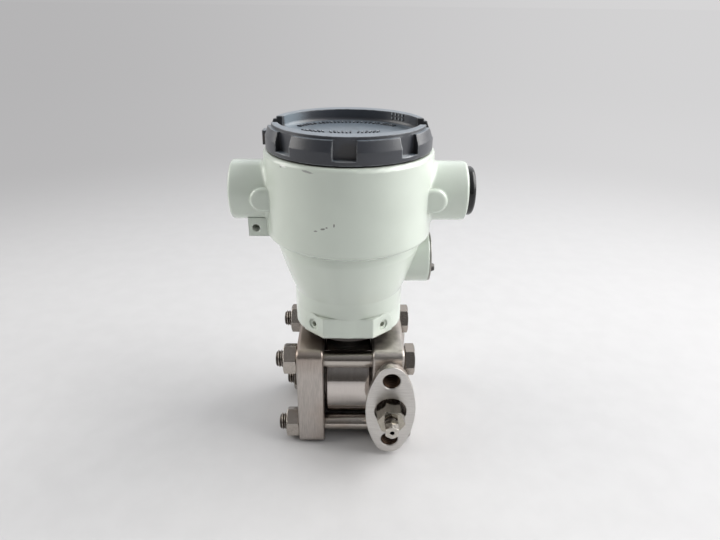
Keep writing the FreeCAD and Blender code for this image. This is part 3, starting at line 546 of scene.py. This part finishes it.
# Scuff: one knock or film at a place on the surface, with a ragged outline that may be soft.
scuff_tree, scuff_in, scuff_out = effect(
    "scuff",
    {"Place": (0.0, 0.0, 0.0), "Size": (1.0, 1.0, 1.0), "Turn": (0.0, 0.0, 0.0), "Soft": 0.2},
    {"Mask": float})
inside = {"Vector": on_piece(scuff_tree), "Location": scuff_in["Place"]}
inside.update({"Rotation": scuff_in["Turn"], "Scale": scuff_in["Size"]})
inside = put(scuff_tree, "Mapping", inside, vector_type="TEXTURE").outputs[0]
ragged = grain(scuff_tree, 2600.0, 3.0)
ragged = reckon(scuff_tree, "ADD", vector_sum(scuff_tree, "LENGTH", inside), ragged)
inner = reckon(scuff_tree, "SUBTRACT", 1.4, scuff_in["Soft"])
outer = reckon(scuff_tree, "ADD", 1.4, scuff_in["Soft"])
scuff_tree.links.new(spread(scuff_tree, ragged, inner, outer, 1.0, 0.0), scuff_out["Mask"])


def painted(name, colour, roughness, peel, depth, dirt_and_shade, bare, wear, edge,
            marks=(), dust_and_painted_light=None, coat=0.0, gloss=0.34):
    # Paint over a casting: skin, dust and painted sheen on what faces up, grime and painted shade
    # in corners, marks given as (place, size, turn, colour, share) and worn corners.
    material, tree, shader = finish_start(name)
    shader.inputs["Coat Weight"].default_value = coat
    shader.inputs["Coat Roughness"].default_value = gloss
    skin = grain(tree, peel, 3.0)
    rub = group(tree, "rubbed_edges", {"Radius": edge, "Patches": 260.0})
    grime_and_shade = group(tree, "grime_and_painted_shade", {"Distance": 0.005})["Mask"]
    deep = [part * 0.94 for part in colour]
    deepest = [part * 0.8 for part in colour]
    tone = tint(tree, spread(tree, grain(tree, 28.0, 3.0), 0.35, 0.7), colour, deep)
    specks = spread(tree, grain(tree, 1500.0, 2.0), 0.74, 0.8, 0.0, 0.25)
    tone = tint(tree, specks, tone, deepest)
    # Dust and painted sheen on what faces up, where given.
    if dust_and_painted_light:
        upward_dust_and_sheen = group(tree, "facing_up", {"Low": 0.55, "High": 0.97})["Mask"]
        uneven = spread(tree, grain(tree, 260.0, 4.0), 0.2, 0.7, 0.7, 1.0)
        tone = tint(tree, reckon(tree, "MULTIPLY", upward_dust_and_sheen, uneven), tone, dust_and_painted_light)
    # Grime and painted shade in corners.
    tone = tint(tree, reckon(tree, "MULTIPLY", grime_and_shade, 0.55), tone, dirt_and_shade)
    for place, size, turn, shade, share in marks:
        scuff = {"Place": place, "Size": size, "Turn": (0.0, turn, 0.0)}
        scuff["Soft"] = 0.15 + 22.0 * max(size)
        scuffed = reckon(tree, "MULTIPLY", group(tree, "scuff", scuff)["Mask"], share)
        tone = tint(tree, scuffed, tone, shade)
    tone = tint(tree, reckon(tree, "MULTIPLY", rub["Mask"], wear), tone, bare)
    tree.links.new(tone, shader.inputs["Base Color"])
    rough = spread(tree, skin, 0.2, 0.8, roughness - 0.03, roughness + 0.03)
    rough = reckon(tree, "ADD", rough, reckon(tree, "MULTIPLY", grime_and_shade, 0.3))
    tree.links.new(rough, shader.inputs["Roughness"])
    relief(tree, shader, 0.35, depth, skin, rub["Normal"])
    return material


dark_mark = (0.09, 0.08, 0.075)
grey_mark = (0.3, 0.3, 0.29)
light_mark = (0.95, 0.96, 0.93)
clean_paint = (0.705, 0.77, 0.69)
housing_marks = [
    ((-0.0403, -0.0816, 0.1107), (0.001, 0.002, 0.0004), -0.2, dark_mark, 0.6),
    ((-0.0367, -0.0827, 0.1122), (0.0013, 0.002, 0.0005), -0.15, dark_mark, 0.75),
    ((-0.0348, -0.0832, 0.1131), (0.0006, 0.002, 0.0004), -0.15, dark_mark, 0.7),
    ((-0.0312, -0.0839, 0.1145), (0.0004, 0.002, 0.001), 0.1, dark_mark, 0.8),
    ((-0.0437, -0.0802, 0.1398), (0.003, 0.003, 0.0006), 0.15, grey_mark, 0.75),
    ((-0.0572, -0.07, 0.1396), (0.0006, 0.003, 0.0005), 0.1, dark_mark, 0.5),
    # Painted light: the inside of the earth hole under the left entry, laid near white where it lies
    # in shade.
    ((-0.0751, -0.046, 0.0995), (0.0026, 0.006, 0.0026), 0.0, light_mark, 0.95),
    ((-0.0745, -0.047, 0.1054), (0.008, 0.006, 0.0022), 0.0, clean_paint, 0.95),
    ((-0.0441, -0.0611, 0.046), (0.0042, 0.0042, 0.0042), 0.0, clean_paint, 0.75),
    ((-0.0049, -0.0611, 0.046), (0.0042, 0.0042, 0.0042), 0.0, clean_paint, 0.75),
    ((-0.0558, -0.0713, 0.1402), (0.0022, 0.003, 0.0006), 0.1, light_mark, 0.9),
]
housing_paint = painted(
    "pale_housing_paint", colour=clean_paint, roughness=0.235, peel=700.0, depth=0.00004,
    dirt_and_shade=(0.25, 0.24, 0.19), bare=(0.84, 0.89, 0.84), wear=0.25, edge=0.0015,
    marks=housing_marks, coat=0.5, gloss=0.1)
dress(housing_paint, "housing")

entry = bmesh.new()
bore_thread(
    entry, wall=0.0093, crest=0.0086, pitch=0.0018, length=0.018,
    start=(-0.0873, axis_y, 0.1186), direction=(1, 0, 0))
piece_from(entry, "conduit_threads", housing_paint, "housing")


# Set screws in the neck, the plate over the adjuster with its slotted screw, and the adjuster.
# The set screws were painted over with the housing, the plate is punched from thin stainless strip
# and the adjuster is turned from brass bar.
screw_paint = painted(
    "painted_screws", colour=(0.7, 0.76, 0.68), roughness=0.34, peel=1800.0, depth=0.00005,
    dirt_and_shade=(0.34, 0.33, 0.28), bare=(0.5, 0.5, 0.47), wear=0.4, edge=0.0003)
dress(screw_paint, "neck_set_screws")
plate_steel = steel(
    "punched_plate_steel", tone=(0.42, 0.4, 0.37), roughness=0.34,
    stretch=(300.0, 300.0, 3200.0), dirt_and_shade=0.7)
dress(plate_steel, "adjust_plate")
plate_screw_steel = steel(
    "browned_screw_steel", tone=(0.105, 0.1, 0.095), roughness=0.38,
    stretch=(900.0, 900.0, 900.0), dirt_and_shade=0.8)
dress(plate_screw_steel, "plate_screw")
adjuster_brass = steel(
    "turned_adjuster_brass", tone=(0.78, 0.57, 0.27), roughness=0.2,
    stretch=(3600.0, 200.0, 200.0), dirt_and_shade=0.7)
dress(adjuster_brass, "adjuster")


# Terminal block, its screws, and the amplifier on its posts inside the housing.
# The block is moulded in dark plastic, the terminals and the posts are turned brass, the other
# screws are nickel plated and the board is cut from green laminate.
block_plastic = moulded(
    "dark_block_plastic", colour=(0.04, 0.038, 0.037), roughness=0.4, pebble=1500.0, depth=0.00004)
dress(block_plastic, "terminal_block")
nickel = steel(
    "nickel_screws", tone=(0.7, 0.67, 0.6), roughness=0.2, stretch=(900.0, 900.0, 900.0), dirt_and_shade=0.7)
dress(nickel, "block_screws", "board_screws")
dress(adjuster_brass, "terminal_screws", "board_posts")
board_laminate = moulded(
    "green_laminate", colour=(0.02, 0.13, 0.05), roughness=0.32, pebble=3000.0, depth=0.00002)
dress(board_laminate, "amplifier_board")
lead_plastic = moulded(
    "grey_lead_plastic", colour=(0.3, 0.3, 0.31), roughness=0.42, pebble=2000.0, depth=0.00003)
dress(lead_plastic, "sensor_lead")


# Plug in the right conduit entry: a hollow thread protector with a dished, rounded flange.
# It is moulded in glossy black plastic and pushed in by hand.
plug_plastic = moulded(
    "black_plug_plastic", colour=(0.009, 0.009, 0.01), roughness=0.15, pebble=700.0, depth=0.000005)
dress(plug_plastic, "conduit_plug")


# Cover: a dished aluminium casting that screws down on the housing, painted charcoal grey.
# Eight pockets leave lugs round its edge and two slots take a bar; the lug tops are rubbed pale.
# Rows of short raised bars stand on the floor of the dish and on its wall as plain cast marks.
# Painted shadow lies in the slots and on the pockets' side walls; painted light lies on the left
# wall of the dish, on what faces up and on the pocket ledges.
tab_brown = (0.05, 0.022, 0.016)
painted_shadow_black = (0.012, 0.012, 0.014)
painted_light_on_wall = (0.19, 0.235, 0.275)
pocket_dirt = (0.028, 0.024, 0.022)
worn_and_lit_ledge = (0.5, 0.53, 0.56)
rubbed_edge = (0.26, 0.27, 0.28)
cover_rubs = [
    ((-0.0692, -0.0372, 0.1468), (0.0022, 0.004, 0.0045), 0.0, tab_brown, 0.8),
    # Painted light on the left wall of the dish, which faces the lamp on the right.
    ((-0.0555, -0.0265, 0.1535), (0.012, 0.014, 0.006), 0.0, painted_light_on_wall, 0.9),
    # Painted shadow: near black in the two slots and on the pockets' side walls.
    ((-0.0615, -0.0302, 0.1525), (0.007, 0.0034, 0.0065), 0.0, painted_shadow_black, 0.95),
    ((0.0135, -0.0322, 0.1525), (0.0075, 0.0034, 0.0065), 0.0, painted_shadow_black, 0.95),
    ((-0.05905, -0.0635, 0.1498), (0.0019, 0.0019, 0.0056), 0.0, painted_shadow_black, 0.9),
    ((0.00807, -0.06608, 0.1498), (0.0019, 0.0019, 0.0056), 0.0, painted_shadow_black, 0.9),
    # Pale worn ledges at the pocket bottoms with a painted highlight, stronger on the right.
    ((-0.0556, -0.06915, 0.1454), (0.0026, 0.0026, 0.0005), 0.0, worn_and_lit_ledge, 0.6),
    ((0.0038, -0.0718, 0.1454), (0.0034, 0.0034, 0.0005), 0.0, worn_and_lit_ledge, 0.85),
    ((-0.0245, -0.0805, 0.1485), (0.006, 0.0035, 0.0055), 0.0, pocket_dirt, 0.6),
    ((-0.0317, -0.082, 0.1503), (0.0007, 0.0018, 0.0046), 0.0, rubbed_edge, 0.75),
    ((-0.0262, -0.0826, 0.1454), (0.0054, 0.002, 0.0005), 0.0, rubbed_edge, 0.75),
]
# Dust and painted sheen: a pale blue-grey on what faces up.
cover_paint = painted(
    "charcoal_cover_paint", colour=(0.039, 0.043, 0.054), roughness=0.34, peel=1500.0,
    depth=0.00014, dirt_and_shade=(0.014, 0.013, 0.013), bare=(0.36, 0.39, 0.42), wear=0.9, edge=0.001,
    marks=cover_rubs, dust_and_painted_light=(0.162, 0.2, 0.24), coat=0.5)
dress(cover_paint, "cover")


def raised_mark(mesh, centre, along, up, size, worn):
    # Low cast bar with sloping sides; some bars have lost the paint on top.
    across = along.cross(up)
    width, length, height = size
    rings = []
    for share, lift in ((1.0, -0.0003), (1.0, 0.0), (0.62, height)):
        half_length = length / 2 - (1 - share) * width / 2
        half_width = width / 2 * share
        ring = []
        for end, side in ((-1, -1), (1, -1), (1, 1), (-1, 1)):
            spot = centre + along * (end * half_length) + across * (side * half_width)
            ring.append(mesh.verts.new(spot + up * lift))
        rings.append(ring)
    skin_rings(mesh, rings).material_index = 1 if worn else 0


dish = Vector((-0.0245, axis_y, 0.1494))
upright = Vector((0.0, 0.0, 1.0))
arc_width, arc_depth = 0.033, 0.0288
arc_bar = (0.001, 0.0032, 0.0006)
marks = bmesh.new()
for first, last in ((42.0, 56.0), (61.0, 78.0), (82.0, 120.0), (126.0, 146.0)):
    count = int((last - first) / 3.5) + 1
    for step in range(count):
        angle = math.radians(first + (last - first) * step / (count - 1))
        outward = Vector((math.cos(angle), math.sin(angle), 0.0))
        spot = dish + Vector((arc_width * outward.x, arc_depth * outward.y, 0.0))
        raised_mark(marks, spot, outward, upright, arc_bar, step % 3 == 1)
row_bar = (0.001, 0.0036, 0.0006)
for step in range(20):
    if step % 7 == 6:
        continue
    across = -0.0245 + 0.0021 * step
    bow = ((across + 0.002) / 0.022) ** 2
    outward = Vector((across * 0.5, 0.022, 0.0)).normalized()
    spot = dish + Vector((across, 0.0012 + 0.004 * bow, 0.0))
    raised_mark(marks, spot, outward, upright, row_bar, step % 2 == 1)
wall_width, wall_depth = 0.0374, 0.0332
wall_bar = (0.0011, 0.0017, 0.0005)
cover_turn = Matrix.Rotation(math.radians(-2.2), 3, "Z")
for column in range(4):
    angle = math.radians(40.0 + 4.0 * column)
    on_wall = Vector((wall_width * math.cos(angle), wall_depth * math.sin(angle), 0.0))
    inward = Vector((-math.cos(angle) / wall_width, -math.sin(angle) / wall_depth, 0.0))
    inward = cover_turn @ inward.normalized()
    for height in (0.0034, 0.0056):
        spot = dish + cover_turn @ on_wall + upright * height
        raised_mark(marks, spot, upright, inward, wall_bar, True)
mark_paint = painted(
    "cast_mark_paint", colour=(0.05, 0.056, 0.068), roughness=0.34, peel=1500.0, depth=0.00004,
    dirt_and_shade=(0.01, 0.01, 0.01), bare=(0.3, 0.33, 0.36), wear=0.6, edge=0.0002)
worn_mark_paint = painted(
    "worn_mark_paint", colour=(0.34, 0.37, 0.4), roughness=0.34, peel=1500.0, depth=0.00004,
    dirt_and_shade=(0.05, 0.05, 0.05), bare=(0.6, 0.62, 0.64), wear=0.6, edge=0.0002)
mark_piece = piece_from(marks, "cover_marks", mark_paint, "cover")
mark_piece.data.materials.append(worn_mark_paint)


# Pale matt table under soft studio light: a broad lamp from the right and above, weaker ones from
# the left and the front, a cool one from behind, and the camera where the photograph was taken.
table_half, table_height = 40.0, -0.0327
floor_mesh = bmesh.new()
for x, y in ((-1, -1), (1, -1), (1, 1), (-1, 1)):
    floor_mesh.verts.new((x * table_half, y * table_half, table_height))
floor_mesh.faces.new(floor_mesh.verts)
floor_data = bpy.data.meshes.new("table")
floor_mesh.to_mesh(floor_data)
floor_mesh.free()
table, table_tree, table_shader = finish_start("pale_table")
paper = spread(table_tree, grain(table_tree, 60.0, 5.0), 0.3, 0.7)
table_tone = tint(table_tree, paper, (0.612, 0.607, 0.612), (0.63, 0.625, 0.63))
table_tree.links.new(table_tone, table_shader.inputs["Base Color"])
table_shader.inputs["Roughness"].default_value = 0.6
table_shader.inputs["Specular IOR Level"].default_value = 0.2

# Away from the part the table goes over to the tone of the room's far wall, where it is seen.
far_left, far_right = (0.47, 0.465, 0.47), (0.68, 0.675, 0.68)
under_part, under_camera = (-0.02, -0.04, 0.0), (-0.02, -0.335, 0.0)
spot = on_piece(table_tree)
away = vector_sum(table_tree, "DISTANCE", spot, under_part)
path = put(table_tree, "LightPath").outputs
seen = reckon(table_tree, "MAXIMUM", path["Is Camera Ray"], path["Is Glossy Ray"])
seen = reckon(table_tree, "MAXIMUM", seen, path["Is Transmission Ray"])
share = reckon(table_tree, "MULTIPLY", seen, spread(table_tree, away, 0.14, 0.8, 0.0, 0.95))
toward = vector_sum(table_tree, "SUBTRACT", spot, under_camera)
toward = vector_sum(table_tree, "NORMALIZE", toward)
side = spread(table_tree, parts(table_tree, toward)["X"], -0.6, 0.6)
glow = put(table_tree, "Emission", {"Color": tint(table_tree, side, far_left, far_right)})
both = {0: share, 1: table_shader.outputs[0], 2: glow.outputs[0]}
both = put(table_tree, "MixShader", both).outputs[0]
table_tree.links.new(both, table_tree.nodes["Material Output"].inputs["Surface"])
floor_data.materials.append(table)
floor = bpy.data.objects.new("table", floor_data)
bpy.context.scene.collection.objects.link(floor)


part_middle = Vector((-0.02, -0.04, 0.07))


def lamp(name, place, size, power, colour):
    # A soft rectangular lamp that looks at the middle of the part.
    light = bpy.data.lights.new(name, "AREA")
    light.shape = "RECTANGLE"
    light.size, light.size_y = size
    light.energy = power
    light.color = colour
    body = bpy.data.objects.new(name, light)
    body.location = place
    body.rotation_euler = (part_middle - Vector(place)).to_track_quat("-Z", "Y").to_euler()
    bpy.context.scene.collection.objects.link(body)


lamp("key_lamp", (0.83, 0.05, 0.68), size=(1.0, 1.0), power=14.6, colour=(1.0, 0.99, 0.97))
lamp("left_lamp", (-0.85, -0.02, 0.46), size=(0.7, 0.7), power=5.0, colour=(1.0, 0.98, 0.94))
lamp("back_lamp", (0.1, 0.9, 0.9), size=(1.8, 1.0), power=3.6, colour=(0.9, 0.95, 1.0))
lamp("front_lamp", (0.75, -0.5, 0.4), size=(0.8, 0.8), power=0.9, colour=(1.0, 1.0, 0.98))

# Room: lighter above, behind and to the right, darker on the camera's side; the pale wall behind
# shows to the camera and in what shines.
world = bpy.data.worlds.new("room")
world.use_nodes = True
room_tree = world.node_tree
facing = put(room_tree, "TexCoord").outputs["Generated"]
lit = spread(room_tree, vector_sum(room_tree, "DOT_PRODUCT", facing, (0.45, 0.5, 0.74)), -0.5, 0.8)
wall = tint(room_tree, lit, (0.075, 0.071, 0.067), (0.46, 0.47, 0.49))
room_side = parts(room_tree, facing)
far_wall = tint(room_tree, spread(room_tree, room_side["X"], -0.6, 0.6), far_left, far_right)
room_path = put(room_tree, "LightPath").outputs
shines = reckon(room_tree, "MAXIMUM", room_path["Is Glossy Ray"], room_path["Is Transmission Ray"])
behind = spread(room_tree, room_side["Y"], -0.2, 0.3)
mirrored = reckon(room_tree, "MULTIPLY", shines, behind)
shown = reckon(room_tree, "MAXIMUM", room_path["Is Camera Ray"], mirrored)
room_colour = room_tree.nodes["Background"].inputs["Color"]
room_tree.links.new(tint(room_tree, shown, wall, far_wall), room_colour)
bpy.context.scene.world = world

lens = bpy.data.cameras.new("camera")
lens.lens = 28.0
lens.sensor_width = 36.0
lens.clip_start = 0.01
camera = bpy.data.objects.new("camera", lens)
camera.location = (-0.02147, -0.33528, 0.21164)
swing = Matrix.Rotation(math.radians(-0.686), 4, "Z")
tilt = Matrix.Rotation(math.radians(64.398), 4, "X")
roll = Matrix.Rotation(math.radians(0.7), 4, "Z")
camera.rotation_euler = (swing @ tilt @ roll).to_euler()
bpy.context.scene.collection.objects.link(camera)
bpy.context.scene.camera = camera
bpy.context.scene.view_settings.view_transform = "Standard"

bpy.context.view_layer.update()
